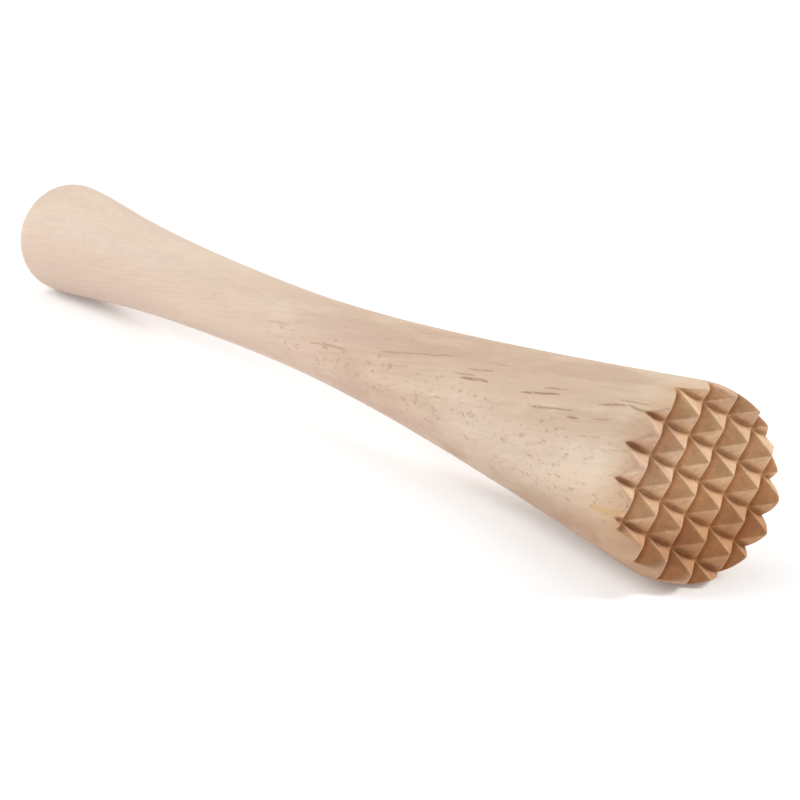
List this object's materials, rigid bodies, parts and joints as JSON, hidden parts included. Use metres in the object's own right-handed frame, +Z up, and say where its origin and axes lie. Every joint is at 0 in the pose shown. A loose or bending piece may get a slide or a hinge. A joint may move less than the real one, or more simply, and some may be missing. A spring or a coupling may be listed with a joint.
{
  "type": "cocktail muddler",
  "caption": "Turned wooden muddler: rounded knob, slim waisted grip and a flared head whose end is cut into pyramid teeth for crushing fruit and herbs in a glass.",
  "frame": {"origin": "on the table, under the middle of the muddler's bounding box as it lies on its side", "axes": "+X along the muddler towards the toothed head, +Z up from the table; the turned axis leans 2.1 degrees up towards the head because knob and head both rest on the table"},
  "size_m": [0.2302, 0.0376, 0.0376],
  "materials": {
    "wood": "bare, finely sanded pale hardwood"
  },
  "bodies": {
    "root": {"turned_body": "wood"}
  },
  "joints": []
}
